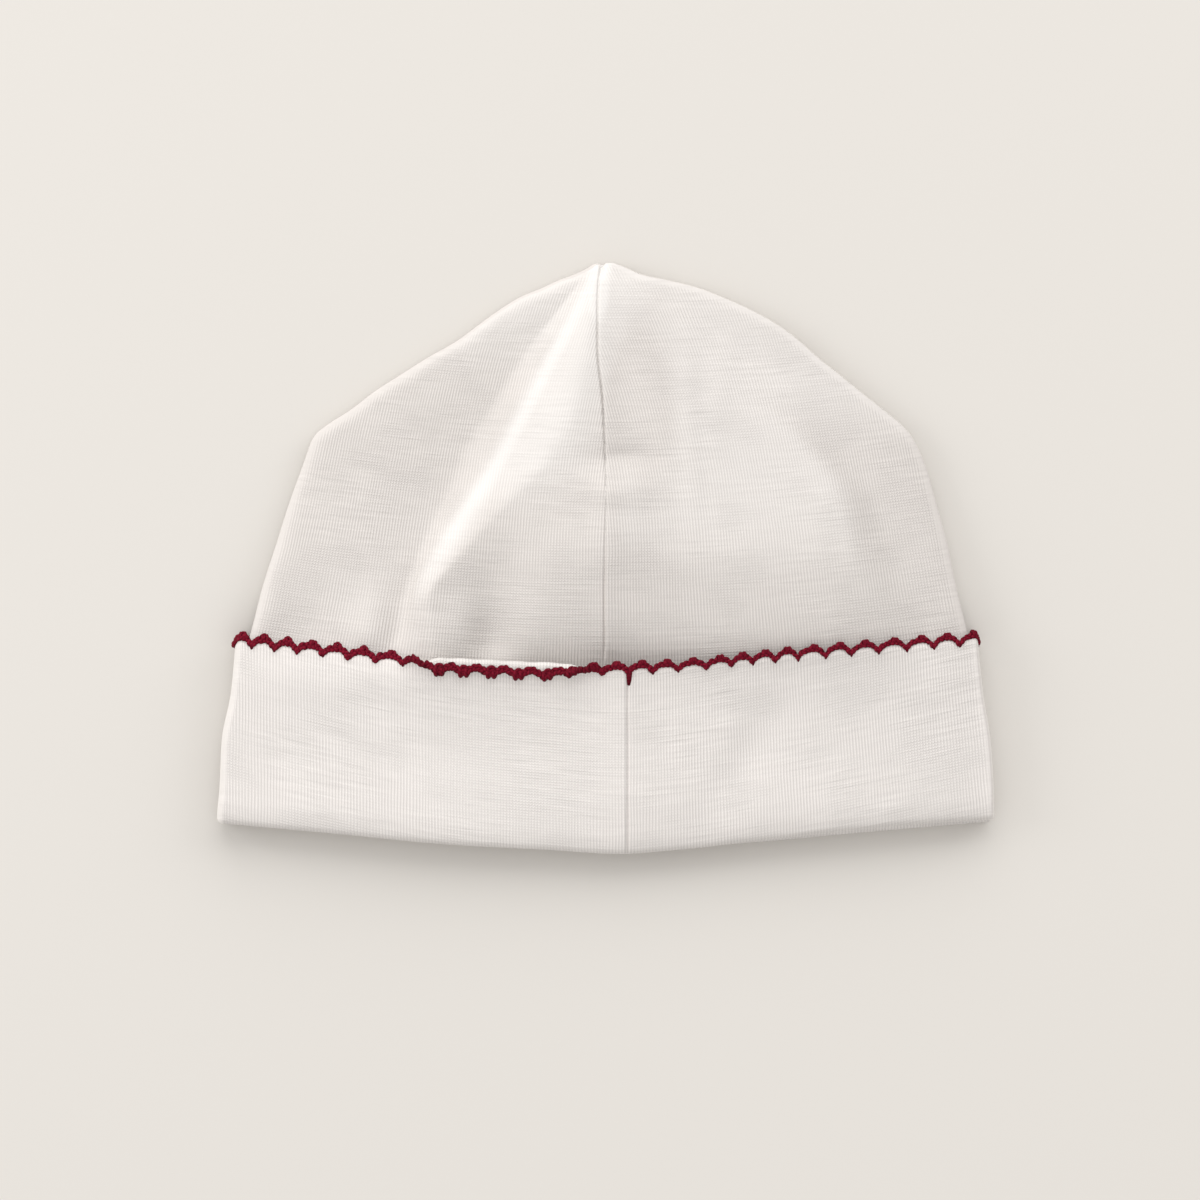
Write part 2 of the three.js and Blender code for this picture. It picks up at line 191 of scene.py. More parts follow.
# Where the knit is open, so that the holes between its stitches show.
CROWN_OPEN = [
    # x, y, along, across, degrees, amount
    (-20, -12, 24, 11, 8, 1),
    (7, 34, 17, 6.5, 95, 0.8),
]
CUFF_OPEN = [
    # x, y, along, across, degrees, amount
    (-16, -44, 30, 22, 0, 1),
]

# The crown's face falls away towards the cuff, which stands clear of it.
DIP = Named(
    depth=3.2, depth_right=0.4, less=(0, 34), top=26.0, left=(-39, -25), right=(50, 74),
    steepness=1.6, shows=(-16, -4),
)
# The crown's seam is a narrow groove between two soft welts.
GROOVE_WIDTH = 0.26
GROOVE_DEPTHS = [
    # y, depth
    (-16, 0.8),
    (2, 0.45),
    (12.8, 0.2),
    (23.8, 0.55),
    (34.7, 0.85),
    (50, 0.7),
    (65, 0.5),
]
WELTS = Named(right=0.5, right_width=3.2, left=0.15, left_width=2.4, shows=(2, 6))
CUFF_SEAM = 4.3  # where it lies across the hat
# The cuff's cloth is thicker left of its seam, up to a step and a groove.
CUFF_WELT = Named(height=0.45, width=5.0, edge=0.3, groove=0.3, groove_at=0.35, groove_width=0.28)
# Where the crown's cloth gets a painted highlight: over the long fold, more so towards the top,
# on both lobes beside the seam, and a little over the right half.
PAINTED_HIGHLIGHT = Named(
    past_flank=1.0, left=2.0, right=3.4, low=0.5, low_from=(-12, 8),
    wide=0.65, wide_from=(6, 25), fades=(8, 26), left_top=0.45, left_top_from=(36, 56),
    right_half=0.35, right_half_from=(-14, 16), brow_until=(20, 40),
    lobes=1.5, lobe_width=3.0, lobes_from=(44, 58), shows=(-1, 5),
)
# How much the knit's columns lean at the side edges and at the seam. At the seam
# they bend in up to straight_from and run straight above it.
GRAIN_LEAN = Named(
    left=0.25, left_seam=0.36, right=0.2, right_seam=0.45, cuff=0.09, reach=80, low=-20, cuff_low=-60,
    straight_from=50,
)


def smooth_slopes(at, value):
    """Slopes at each point of a curve through values, so that it doesn't overshoot."""
    pitch = np.diff(value, axis=0) / np.diff(at, axis=0)
    slope = np.zeros_like(value)
    slope[0], slope[-1] = pitch[0], pitch[-1]
    before, after = pitch[:-1], pitch[1:]
    total = np.where(before * after > 0, before + after, 1)
    slope[1:-1] = np.where(before * after > 0, 2 * before * after / total, 0)
    return slope


def cubic(t, width, start, end, start_slope, end_slope):
    """The curve from start to end as t goes from 0 to 1 over a width."""
    return ((1 + 2 * t) * (1 - t) ** 2 * start
            + t * (1 - t) ** 2 * width * start_slope
            + t * t * (3 - 2 * t) * end
            + t * t * (t - 1) * width * end_slope)


class Curve:
    """A smooth curve through the rows of a table, which goes on straight past its ends."""

    def __init__(self, at, value):
        self.at = np.asarray(at, float)
        self.value = np.asarray(value, float)
        self.slope = smooth_slopes(self.at, self.value)

    def __call__(self, x):
        x = np.asarray(x, float)
        i = np.clip(np.searchsorted(self.at, x, side="right") - 1, 0, len(self.at) - 2)
        width = self.at[i + 1] - self.at[i]
        t = (x - self.at[i]) / width
        first, last = self.slope[i], self.slope[i + 1]
        inside = cubic(np.clip(t, 0, 1), width, self.value[i], self.value[i + 1], first, last)
        return inside + np.minimum(t, 0) * width * first + np.maximum(t - 1, 0) * width * last


def curves(rows):
    """One curve for each further column of a table, over its first column."""
    columns = list(zip(*rows))
    return [Curve(columns[0], column) for column in columns[1:]]


def smoothstep(x, low, high):
    """Grows smoothly from 0 at low to 1 at high."""
    t = np.clip((x - low) / (high - low), 0, 1)
    return t * t * (3 - 2 * t)


def fall_off(away, width, power=2):
    """1 at an edge, and 0 at the width away from it."""
    return np.clip(1 - away / width, 0, 1) ** power


def lerp(a, b, t):
    return a + (b - a) * t


def slant(edge, y):
    """How much an outline's slant stretches its rolled edge across the hat."""
    step = 0.15
    return np.hypot(1, (edge(y + step) - edge(y - step)) / (2 * step))


crown_left, crown_right = curves(CROWN_SIDES)
cuff_left, cuff_right = curves(CUFF_SIDES)
fold_edge, back_fold_edge, top_edge = curves(CUFF_EDGES)
section_curves = curves(SECTIONS)
(groove_depth,) = curves(GROOVE_DEPTHS)
flank_line = section_curves[5]
brow_line = section_curves[13]
seam_line = section_curves[9]


def above_cuff(x, y, low, high):
    """Grows from 0 to 1 between two heights above the cuff's upper edge."""
    return smoothstep(y - top_edge(x), low, high)


def crown_rim(y):
    return lerp(TUCKED_RIM, CROWN_RIM, smoothstep(y, *CROWN_RIM_THINS))


def crown_back(x, y):
    return BACK_STEP * (1 - above_cuff(x, y, *BACK_RISES))


def crown_span(y):
    """Where the crown's upper face starts and ends across the hat."""
    return crown_left(y) + crown_rim(y), crown_right(y) - crown_rim(y)


def base_height(y):
    return lerp(BASE.under_cuff, BASE.above, smoothstep(y, *BASE.sinks))


def section_height(x, y):
    """Height of the upper face from SECTIONS, without its small folds."""
    left, *places, right = [curve(y) for curve in section_curves]
    start, end = crown_span(y)
    xs = np.stack([start, *places[0::2], end])
    zs = np.stack([left, *places[1::2], right])
    for i in range(1, len(xs)):
        xs[i] = np.maximum(xs[i], xs[i - 1] + LEAST_PITCH)
    return base_height(y) + spline_across(xs, zs, x)


def spline_across(xs, zs, x):
    """The smooth curve through the points (xs, zs) of each section, at x."""
    slope = smooth_slopes(xs, zs)
    i = np.clip((x[None] >= xs).sum(axis=0) - 1, 0, len(xs) - 2)[None]

    def pick(array, index):
        return np.take_along_axis(array, index, axis=0)[0]

    start = pick(xs, i)
    width = pick(xs, i + 1) - start
    t = np.clip((x - start) / width, 0, 1)
    return cubic(t, width, pick(zs, i), pick(zs, i + 1), pick(slope, i), pick(slope, i + 1))


def bell(away, width):
    """1 at the middle, and close to 0 at twice the width away from it."""
    return np.exp(-((away / width) ** 2))


def dents(x, y, rows):
    """The sum of small oval bumps and hollows."""
    total = np.zeros_like(x)
    for cx, cy, along, across, degrees, height in rows:
        turn = math.radians(degrees)
        u = (x - cx) * math.cos(turn) + (y - cy) * math.sin(turn)
        v = (y - cy) * math.cos(turn) - (x - cx) * math.sin(turn)
        total += height * bell(u, along) * bell(v, across)
    return total


def crown_welt(x, y):
    """The seam allowance is pressed to the right, which stands higher."""
    away = x - seam_line(y)
    right = WELTS.right * bell(away, WELTS.right_width)
    left = WELTS.left * bell(away, WELTS.left_width)
    step = smoothstep(away, -GROOVE_WIDTH, GROOVE_WIDTH)
    groove = groove_depth(y) * bell(away, GROOVE_WIDTH)
    return (lerp(left, right, step) - groove) * above_cuff(x, y, *WELTS.shows)


def edge_fade(x, y):
    """0 at the rolled side edges and 1 away from them."""
    start, end = crown_span(y)
    return smoothstep(np.minimum(x - start, end - x), 0, EDGE_FADE)


def roll(x, y):
    """How far the crown's face has rolled over near its side edges."""
    start, end = crown_span(y)
    left = ROLL.left * fall_off((x - start) / slant(crown_left, y), ROLL.width)
    right = ROLL.right * fall_off((end - x) / slant(crown_right, y), ROLL.width)
    return (left + right) * above_cuff(x, y, *ROLL.shows)


def dip(x, y):
    """How far the crown's face has fallen towards the cuff."""
    depth = lerp(DIP.depth, DIP.depth_right, smoothstep(x, *DIP.less))
    width = smoothstep(x, *DIP.left) * (1 - smoothstep(x, *DIP.right))
    fall = fall_off(y - top_edge(x), DIP.top, DIP.steepness)
    return depth * width * fall * above_cuff(x, y, *DIP.shows)


def crown_face(x, y):
    folds = dents(x, y, DENTS) * edge_fade(x, y) * above_cuff(x, y, *DENTS_SHOW)
    pressed = np.minimum(dents(x, y, CUFF_DENTS) + cuff_welt(x), 0)
    pressed = pressed * (1 - above_cuff(x, y, *PRESSED_BELOW))
    return section_height(x, y) + folds + pressed + crown_welt(x, y) - dip(x, y) - roll(x, y)


def cuff_welt(x):
    away = x - CUFF_SEAM
    height = CUFF_WELT.height * bell(away, CUFF_WELT.width)
    groove = CUFF_WELT.groove * bell(away - CUFF_WELT.groove_at, CUFF_WELT.groove_width)
    return height * (1 - smoothstep(away, -CUFF_WELT.edge, CUFF_WELT.edge)) - groove


def cuff_face(x, y):
    over = FOLD_ROLL.depth * fall_off(y - fold_edge(x), FOLD_ROLL.width)
    return section_height(x, y) + FRONT_STEP + dents(x, y, CUFF_DENTS) + cuff_welt(x) - over


def painted_highlight(x, y):
    """How much painted highlight the crown's cloth gets over its long fold, top lobes and right half, from
    0 to 1.
    """
    away = x - flank_line(y) - PAINTED_HIGHLIGHT.past_flank
    near = bell(away, np.where(away < 0, PAINTED_HIGHLIGHT.left, PAINTED_HIGHLIGHT.right))
    near = near * lerp(PAINTED_HIGHLIGHT.low, 1, smoothstep(y, *PAINTED_HIGHLIGHT.low_from))
    wide = PAINTED_HIGHLIGHT.wide * smoothstep(y, *PAINTED_HIGHLIGHT.wide_from)
    beside = wide * (away > 0) * (1 - smoothstep(away, *PAINTED_HIGHLIGHT.fades))
    top = PAINTED_HIGHLIGHT.left_top * (away < 0) * smoothstep(y, *PAINTED_HIGHLIGHT.left_top_from)
    right = PAINTED_HIGHLIGHT.right_half * smoothstep(x, 0, 5) * smoothstep(y, *PAINTED_HIGHLIGHT.right_half_from)
    right = right * (1 - smoothstep(x - brow_line(y), 0, 6) * (1 - smoothstep(y, *PAINTED_HIGHLIGHT.brow_until)))
    by_seam = PAINTED_HIGHLIGHT.lobes * bell(x - seam_line(y), PAINTED_HIGHLIGHT.lobe_width)
    lobes = by_seam * smoothstep(y, *PAINTED_HIGHLIGHT.lobes_from)
    return np.max([near, beside, top, right, lobes], axis=0) * above_cuff(x, y, *PAINTED_HIGHLIGHT.shows)


# ---- layers

FACE_LEFT, FACE_RIGHT, RIGHT_RIM, BACK, LEFT_RIM = range(5)
MOST_RIM = 0.49  # share of a tube's width that one rim may take up
# The lower half of a rolled edge isn't pressed smooth and gets no painted rim highlight.
RIM_KNIT = Named(amount=2.0, turns=(0.3 * np.pi, 0.55 * np.pi))


# A flattened tube: its seam, side edges, rim radius, back, face and grain, and how
# much smaller its rim's radius is at the right edge.
Layer = namedtuple("Layer", "seam left right rim back face grain crease")


def crown_grain(x, y):
    """Counts the knit's columns across the crown. They lean in towards its top."""
    across = np.clip(np.abs(x) / GRAIN_LEAN.reach, 0, 1)
    right = x > seam_line(y)
    at_edge = np.where(right, GRAIN_LEAN.right, GRAIN_LEAN.left)
    at_seam = np.where(right, GRAIN_LEAN.right_seam, GRAIN_LEAN.left_seam)
    straight = GRAIN_LEAN.straight_from
    bend = np.clip(y, 0, straight) ** 2 / (2 * straight) + np.maximum(y - straight, 0)
    lean = at_edge * across * (y - GRAIN_LEAN.low) + at_seam * (1 - across) * bend
    return x + np.sign(x - seam_line(y)) * lean


def cuff_grain(x, y):
    return x + GRAIN_LEAN.cuff * np.maximum(x, 0) / GRAIN_LEAN.reach * (y - GRAIN_LEAN.cuff_low)


CROWN = Layer(
    seam_line, crown_left, crown_right, crown_rim, crown_back, crown_face, crown_grain, crease=0.4,
)
CUFF = Layer(
    seam=lambda y: np.full_like(y, CUFF_SEAM),
    left=cuff_left,
    right=cuff_right,
    rim=lambda y: np.full_like(y, CUFF_RIM),
    back=lambda x, y: np.zeros_like(x),
    face=cuff_face,
    grain=cuff_grain,
    crease=0.45,
)


def stations(half_face, rim, back, crowding):
    """Places round a tube: left rim, face from left to right, right rim, back.

    They crowd towards the seam in the middle of the face.
    """
    steps = np.linspace(0, 1, half_face + 1)
    from_seam = crowding * steps + (1 - crowding) * steps ** 2
    parts = [
        (LEFT_RIM, np.arange(1, rim) / rim),
        (FACE_LEFT, 1 - from_seam[::-1]),
        (FACE_RIGHT, from_seam[1:]),
        (RIGHT_RIM, np.arange(1, rim + 1) / rim),
        (BACK, 1 - np.arange(1, back + 1) / back),
    ]
    side = np.concatenate([np.full(len(t), kind) for kind, t in parts])
    return side, np.concatenate([t for _, t in parts])


def fraction(side, t):
    """How far across the hat a station is, from -1 to 1."""
    return np.select(
        [side == FACE_LEFT, side == FACE_RIGHT, side == RIGHT_RIM, side == LEFT_RIM],
        [t - 1, t, np.ones_like(t), -np.ones_like(t)],
        2 * t - 1,
    )


def layer_points(layer, side, t, y, inset):
    """Points of a layer at stations and heights, sunk into it by inset.

    Also gives the cloth's own coordinate round the hat at each point, the whole
    length round the hat there, and how far the point is from the side edges.
    """
    side, t, y, inset = np.broadcast_arrays(side, t, y, inset)
    left, right = layer.left(y), layer.right(y)
    left_slant, right_slant = slant(layer.left, y), slant(layer.right, y)
    full_rim = layer.rim(y)
    rim = np.minimum(full_rim, MOST_RIM * (right - left) / (left_slant + right_slant))
    start = left + rim * left_slant
    end = right - rim * layer.crease * right_slant
    seam = np.clip(layer.seam(y), start, end)
    on_right, on_left = side == RIGHT_RIM, side == LEFT_RIM
    x = np.select(
        [side == FACE_LEFT, side == FACE_RIGHT, side == BACK, on_right],
        [lerp(start, seam, t), lerp(seam, end, t), lerp(start, end, t), end],
        start,
    )
    face, back = layer.face(x, y), layer.back(x, y)
    middle = (face + back) / 2
    half = (face - back) / 2 * np.sqrt(1 - (1 - rim / full_rim) ** 2)
    sunk = np.minimum(inset, half - LEAST_HALF)
    turn = np.pi * np.where(on_right, t, 1 - t)
    z = np.select(
        [side <= FACE_RIGHT, side == BACK],
        [middle + half - sunk, middle - half + sunk],
        middle + (half - sunk) * np.cos(turn),
    )
    slants = np.where(on_right, right_slant, -left_slant)
    flattened = np.where(on_right, layer.crease, 1)
    reach = flattened * (rim - np.minimum(inset, MOST_SUNK * rim)) * slants * np.sin(turn)
    points = np.stack([x + np.where(on_right | on_left, reach, 0), y, z], axis=-1)

    edge_half = (layer.face(start, y) - layer.back(start, y)) / 2
    around = np.pi * np.sqrt((rim ** 2 + edge_half ** 2) / 2)
    here, first, last = layer.grain(x, y), layer.grain(start, y), layer.grain(end, y)
    across = np.select(
        [side <= FACE_RIGHT, on_right, side == BACK],
        [here, last + around * t, last + around + last - here],
        first - around * (1 - t),
    )
    from_edge = np.minimum((points[..., 0] - left) / left_slant, (right - points[..., 0]) / right_slant)
    below = np.where(on_right | on_left, smoothstep(turn, *RIM_KNIT.turns), 0)
    from_edge = from_edge + RIM_KNIT.amount * below
    return points, across, 2 * (last - first + around), from_edge


# ---- meshes

def to_metres(points):
    return (points - ORIGIN) * MM


def add_object(name, data):
    added = bpy.data.objects.new(name, data)
    bpy.context.scene.collection.objects.link(added)
    return added


class Surface:
    """Grids of points that grow into one mesh, with four coordinates at each point.

    The first two are places round and along the cloth or yarn. The other two say
    how it lies and where its material paints highlight and shade.
    """

    def __init__(self):
        self.points = []
        self.faces = []
        self.coordinates = []
        self.count = 0

    def _add_points(self, points):
        first = self.count
        self.points.append(points)
        self.count += len(points)
        return first

    def _add_faces(self, corners, coordinates):
        self.faces += corners.tolist()
        self.coordinates.append(coordinates.reshape(-1, 4))

    def add_grid(self, points, uv, period, closed_rows=False, tips=(None, None)):
        """Adds rows of points that each close on themselves.

        uv is the cloth's coordinates at each point, and period is what the first
        grows by in one turn of each row. closed_rows joins the last row to the first.
        tips are points that close the first and the last row.
        """
        rows, columns = points.shape[:2]
        first = self._add_points(points.reshape(-1, 3))
        turned = uv[:, 0].copy()
        turned[:, 0] += period
        uv = np.concatenate([uv, turned[:, None]], axis=1)
        i, j = np.meshgrid(np.arange(rows if closed_rows else rows - 1), np.arange(columns), indexing="ij")
        up = (i + 1) % rows
        ahead = (j + 1) % columns
        corners = [i * columns + j, i * columns + ahead, up * columns + ahead, up * columns + j]
        quads = np.stack(corners, axis=-1).reshape(-1, 4) + first
        at = [uv[i, j], uv[i, j + 1], uv[up, j + 1], uv[up, j]]
        self._add_faces(quads, np.stack(at, axis=2))
        for row, tip, flipped in ((0, tips[0], True), (rows - 1, tips[1], False)):
            if tip is not None:
                self._add_fan(first + row * columns, uv[row], tip, flipped)

    def _add_fan(self, first, uv, tip, flipped):
        columns = len(uv) - 1
        j = np.arange(columns)
        near, far = first + j, first + (j + 1) % columns
        end = np.full(columns, self._add_points(np.asarray(tip, float).reshape(1, 3)))
        edge, at = [near, far], [uv[:-1], uv[1:]]
        if flipped:
            edge, at = edge[::-1], at[::-1]
        middle = (uv[:-1] + uv[1:]) / 2
        self._add_faces(np.stack([*edge, end], axis=-1), np.stack([*at, middle], axis=1))

    def mesh(self, name):
        mesh = bpy.data.meshes.new(name)
        mesh.from_pydata(to_metres(np.concatenate(self.points)).tolist(), [], self.faces)
        coordinates = np.concatenate(self.coordinates)
        mesh.uv_layers.new(name="knit").data.foreach_set("uv", coordinates[:, :2].ravel())
        mesh.uv_layers.new(name="lie").data.foreach_set("uv", coordinates[:, 2:].ravel())
        mesh.polygons.foreach_set("use_smooth", np.ones(len(mesh.polygons), bool))
        mesh.update()
        return mesh


def add_piece(name, surface, material, node):
    """Puts a surface in the scene as a finished piece that stands for a CAD node."""
    piece = add_object(name, surface.mesh(name))
    piece.data.materials.append(material)
    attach(piece, "root")
    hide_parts(node)
    return piece


# ---- crown

CROWN_STRAIGHT = -14.0  # above this a row of the crown runs level
HOLLOW_TOP = 57.0  # where the space for the head ends
NEAR_TOP = 60.0  # where the two lobes part
COURSE_SMILE = 0.0011  # how the knit's rows curve up to the sides


def crown_rows(levels_down, levels_up):
    """Heights of the crown's rows at every station, from its lower edge up."""
    side, t = crown_stations
    x = HALF_WIDTH * fraction(side, t)
    lower = np.maximum(fold_edge(x), back_fold_edge(x)) + FOLD_RADIUS + TUCK + EDGE_GAP
    down = lerp(CROWN_STRAIGHT, lower[None], np.asarray(levels_down)[:, None])
    up = np.broadcast_to(np.asarray(levels_up)[:, None], (len(levels_up), len(side)))
    return np.concatenate([down, up])


def crown_skin(rows, inset):
    points, across, period, from_edge = layer_points(CROWN, *crown_stations, rows, inset)
    notch = bell(points[..., 0] - NOTCH.x, NOTCH.width)
    points[..., 1] -= NOTCH.depth * notch * smoothstep(rows, NEAR_TOP, TOP)
    x, y = points[..., 0], points[..., 1]
    along = y - COURSE_SMILE * x ** 2
    # Painted highlight over the long fold, the top lobes and the right half, less where the knit is open.
    painted_highlight_and_openness = (painted_highlight(x, y) - dents(x, y, CROWN_OPEN)) * (crown_stations[0] <= FACE_RIGHT)
    return points, np.stack([across, along, from_edge, painted_highlight_and_openness], axis=-1), period[:, 0]


crown_stations = stations(half_face=118, rim=12, back=36, crowding=0.14)
# Rows of the two faces, from 1 at the lower edge to 0 at CROWN_STRAIGHT, and then
# as heights. They are close where the crown shows.
OUTER_DOWN = np.concatenate([np.linspace(1, 0.4, 8), np.linspace(0.36, 0.02, 30)])
OUTER_UP = np.concatenate([np.arange(CROWN_STRAIGHT, NEAR_TOP, 0.52), np.linspace(NEAR_TOP, TOP, 22)])
INNER_DOWN = np.linspace(1, 0.05, 14)
INNER_UP = np.linspace(CROWN_STRAIGHT, HOLLOW_TOP, 40)
INNER_PEAK, OUTER_PEAK = 0.6, 0.15  # how far each face's tip stands over its last row


def make_crown(material):
    """The petal-cut bag of jersey, with an outer and an inner face."""
    outside = crown_skin(crown_rows(OUTER_DOWN, OUTER_UP), 0)
    inside = crown_skin(crown_rows(INNER_DOWN, INNER_UP), WALL)
    points, uv, period = [np.concatenate([i[::-1], o]) for i, o in zip(inside, outside)]
    inner_tip = inside[0][-1].mean(axis=0) + [0, INNER_PEAK, 0]
    outer_tip = outside[0][-1].mean(axis=0) + [0, OUTER_PEAK, 0]
    surface = Surface()
    surface.add_grid(points, uv, period, tips=(inner_tip, outer_tip))
    return add_piece("crown_jersey", surface, material, "crown")


# ---- cuff

# The crochet pulls the cuff's edge into scallops. These are the places where it
# is stitched down from one side edge to the other. Behind they are even.
STITCHED_DOWN = [
    -82.2, -77.5, -72.5, -67.5, -61.8, -56.2, -50.3, -44.2, -38.8, -33.9, -28.1, -22.0, -16.3, -10.4, -4.8,
    -1.0, 4.9, 10.0, 15.4, 21.4, 26.8, 31.4, 36.2, 41.1, 47.0, 52.5, 58.4, 64.5, 70.4, 76.0, 82.3,
]
EVEN_SCALLOPS = 29
SCALLOP_HEIGHTS = [
    # x, height
    (-80, 1.1),
    (-60, 1),
    (-45, 0.8),
    (-8, 0.8),
    (-3, 0.35),
    (6, 0.85),
    (20, 0.7),
    (30, 0.8),
    (42, 1.15),
    (80, 1.15),
]
# Part of the edge rolls outwards, so that its crochet hangs down.
CURL = Named(grows=(-46, -35.5), ends=(-12, 1.5), turn=180.0, length=2.0, taller=0.2)
CURL_LIFTS = [
    # x, lift of the rolled edge
    (-44, 2.2),
    (-34.5, 3.1),
    (-23, 3.3),
    (-8, 3.2),
    (1.5, 2.4),
]
LEAST_TURN = 1e-4  # of a flat edge, in radians
HEM = Named(thickness=0.7, taper=2.2, roll=0.22, roll_at=0.8, roll_width=0.6)
# Each scallop jumps up from its stitch, climbs to its peak and falls steeply.
SCALLOP_SHAPE = [
    # phase, height
    (0, 0),
    (0.09, 0.42),
    (0.3, 0.74),
    (0.56, 1),
    (0.78, 0.66),
    (0.93, 0.2),
    (1, 0),
]

# Stations round the cuff crowd at its seam.
CUFF_STEPS = Named(face=175, even=0.25, power=1.5, rim=14, back=171)
# Rows over its cloth: places beyond the edge, then shares of the rest of the leg.
HEM_ROWS = -np.append(np.linspace(0, CURL.length + 1.8, 14), [5.4, 6.6])
LEG_ROWS = np.linspace(0.97, 0, 28)
FOLD_TURNS = np.linspace(0, np.pi, 15)[1:]
TUCK_RISES = np.linspace(0, TUCK, 5)

(scallop_shape,) = curves(SCALLOP_SHAPE)
(scallop_height,) = curves(SCALLOP_HEIGHTS)
(curl_lift,) = curves(CURL_LIFTS)

# Lengths round the cuff's upper edge start at its left hinge and cross the face,
# where they are also x. Then come the right rim, the back and the left rim.
EDGE_START = -79.4
EDGE_END = 79.4
ACROSS = EDGE_END - EDGE_START
BEND = math.pi * CUFF_RIM
EDGE_LENGTH = 2 * ACROSS + 2 * BEND


def edge_station(s):
    """The station at a length round the cuff's edge."""
    at = (s - EDGE_START) % EDGE_LENGTH
    seam = CUFF_SEAM - EDGE_START
    reached = [at < seam, at < ACROSS, at < ACROSS + BEND, at < 2 * ACROSS + BEND]
    side = np.select(reached, [FACE_LEFT, FACE_RIGHT, RIGHT_RIM, BACK], LEFT_RIM)
    t = np.select(
        reached,
        [at / seam, (at - seam) / (ACROSS - seam), (at - ACROSS) / BEND, 2 - (at - BEND) / ACROSS],
        (at - 2 * ACROSS - BEND) / BEND,
    )
    return side, t


def edge_across(s):
    """Where a length round the cuff's edge lies across the hat."""
    at = (s - EDGE_START) % EDGE_LENGTH
    return EDGE_START + np.clip(np.minimum(at, 2 * ACROSS + BEND - at), 0, ACROSS)


def in_front(s):
    """Whether a length is on the face or on the upper half of a rolled side edge."""
    return (s - EDGE_START + BEND / 2) % EDGE_LENGTH < ACROSS + BEND


FIRST, LAST = STITCHED_DOWN[0] + EDGE_LENGTH, STITCHED_DOWN[-1]
EVEN_STITCHES = LAST + (FIRST - LAST) * np.arange(1, EVEN_SCALLOPS + 1) / EVEN_SCALLOPS
STITCHES = np.append(STITCHED_DOWN, EVEN_STITCHES)


def scallop(s):
    """How far a length is through its scallop, from 0 to 1, and the scallop's number."""
    s = (s - STITCHES[0]) % EDGE_LENGTH + STITCHES[0]
    i = np.clip(np.searchsorted(STITCHES, s, side="right") - 1, 0, len(STITCHES) - 2)
    return (s - STITCHES[i]) / (STITCHES[i + 1] - STITCHES[i]), i


def scallop_rise(s):
    """Height of the cloth's edge above the places where it is stitched down."""
    phase, _ = scallop(s)
    wave = (1 - np.cos(2 * np.pi * phase)) / 2
    return scallop_height(edge_across(s)) * lerp(scallop_shape(phase), wave, curl_amount(s))


def curl_amount(s):
    x = edge_across(s)
    curled = smoothstep(x, *CURL.grows) * (1 - smoothstep(x, *CURL.ends))
    return np.where(in_front(s), curled, 0)


def edge_section(s, beyond, offset):
    """A point near the cuff's upper edge, as its height and its depth in the cuff.

    beyond is how far it is past the edge, along the cloth, and offset is how far
    out from the middle of the cloth.
    """
    curl = curl_amount(s)
    turn = np.maximum(math.radians(CURL.turn) * curl, LEAST_TURN)
    length = CURL.length
    rise = scallop_rise(s) * (1 + CURL.taller * curl)
    x = edge_across(s)
    foot = top_edge(x) + rise * (1 - curl) + curl_lift(x) * curl - length
    along = length + beyond + rise * curl
    radius = length / turn
    angle = np.clip(along / length, 0, 1) * turn
    past = np.maximum(along - length, 0)
    before = np.minimum(along, 0)
    height = foot + before + radius * np.sin(angle) + past * np.cos(angle) - offset * np.sin(angle)
    out = radius * (1 - np.cos(angle)) + past * np.sin(angle) + offset * np.cos(angle)
    return height, WALL / 2 - out


def cuff_lengths():
    """Lengths round the edge, crowding at the cuff's seam."""
    steps = np.linspace(0, 1, CUFF_STEPS.face)
    even = CUFF_STEPS.even
    eased = even * steps + (1 - even) * steps ** CUFF_STEPS.power
    left = CUFF_SEAM - (CUFF_SEAM - EDGE_START) * eased[::-1]
    right = CUFF_SEAM + (EDGE_END - CUFF_SEAM) * eased[1:]
    rim = BEND * np.arange(1, CUFF_STEPS.rim + 1) / CUFF_STEPS.rim
    back = ACROSS * np.arange(1, CUFF_STEPS.back) / CUFF_STEPS.back
    return np.concatenate([EDGE_START - BEND + rim[:-1], left, right,
                           EDGE_END + rim, EDGE_END + BEND + np.append(back, ACROSS)])


def outer_leg(s, base, outward):
    """Rows of one face of the outer leg, from its edge down."""
    top, _ = edge_section(s, HEM_ROWS[-1], 0)
    rows = []
    for beyond in HEM_ROWS:
        half = lerp(HEM.thickness, WALL, smoothstep(-beyond, 0, HEM.taper)) / 2
        roll_out = HEM.roll * bell(beyond + HEM.roll_at, HEM.roll_width)
        rows.append(edge_section(s, beyond, outward * half + roll_out * (1 - curl_amount(s))))
    depth = WALL / 2 - outward * WALL / 2
    return rows + [(lerp(base, top, part), depth) for part in LEG_ROWS]


def cuff_rows(s, base):
    """Heights and depths of the rows over the cuff's cloth, from its outer face round."""
    fold = [(base - FOLD_RADIUS * np.sin(turn), FOLD_RADIUS * (1 - np.cos(turn))) for turn in FOLD_TURNS]
    tucked = [(base + rise, 2 * FOLD_RADIUS) for rise in TUCK_RISES[1:]]
    returning = [(base + rise, 2 * FOLD_RADIUS - WALL) for rise in TUCK_RISES[::-1]]
    inside_fold = [(base - GAP / 2, FOLD_RADIUS)]
    rows = outer_leg(s, base, 1) + fold + tucked + returning + inside_fold + outer_leg(s, base, -1)[::-1]
    return np.array([np.broadcast_arrays(*row, s)[:2] for row in rows]).transpose(1, 0, 2)


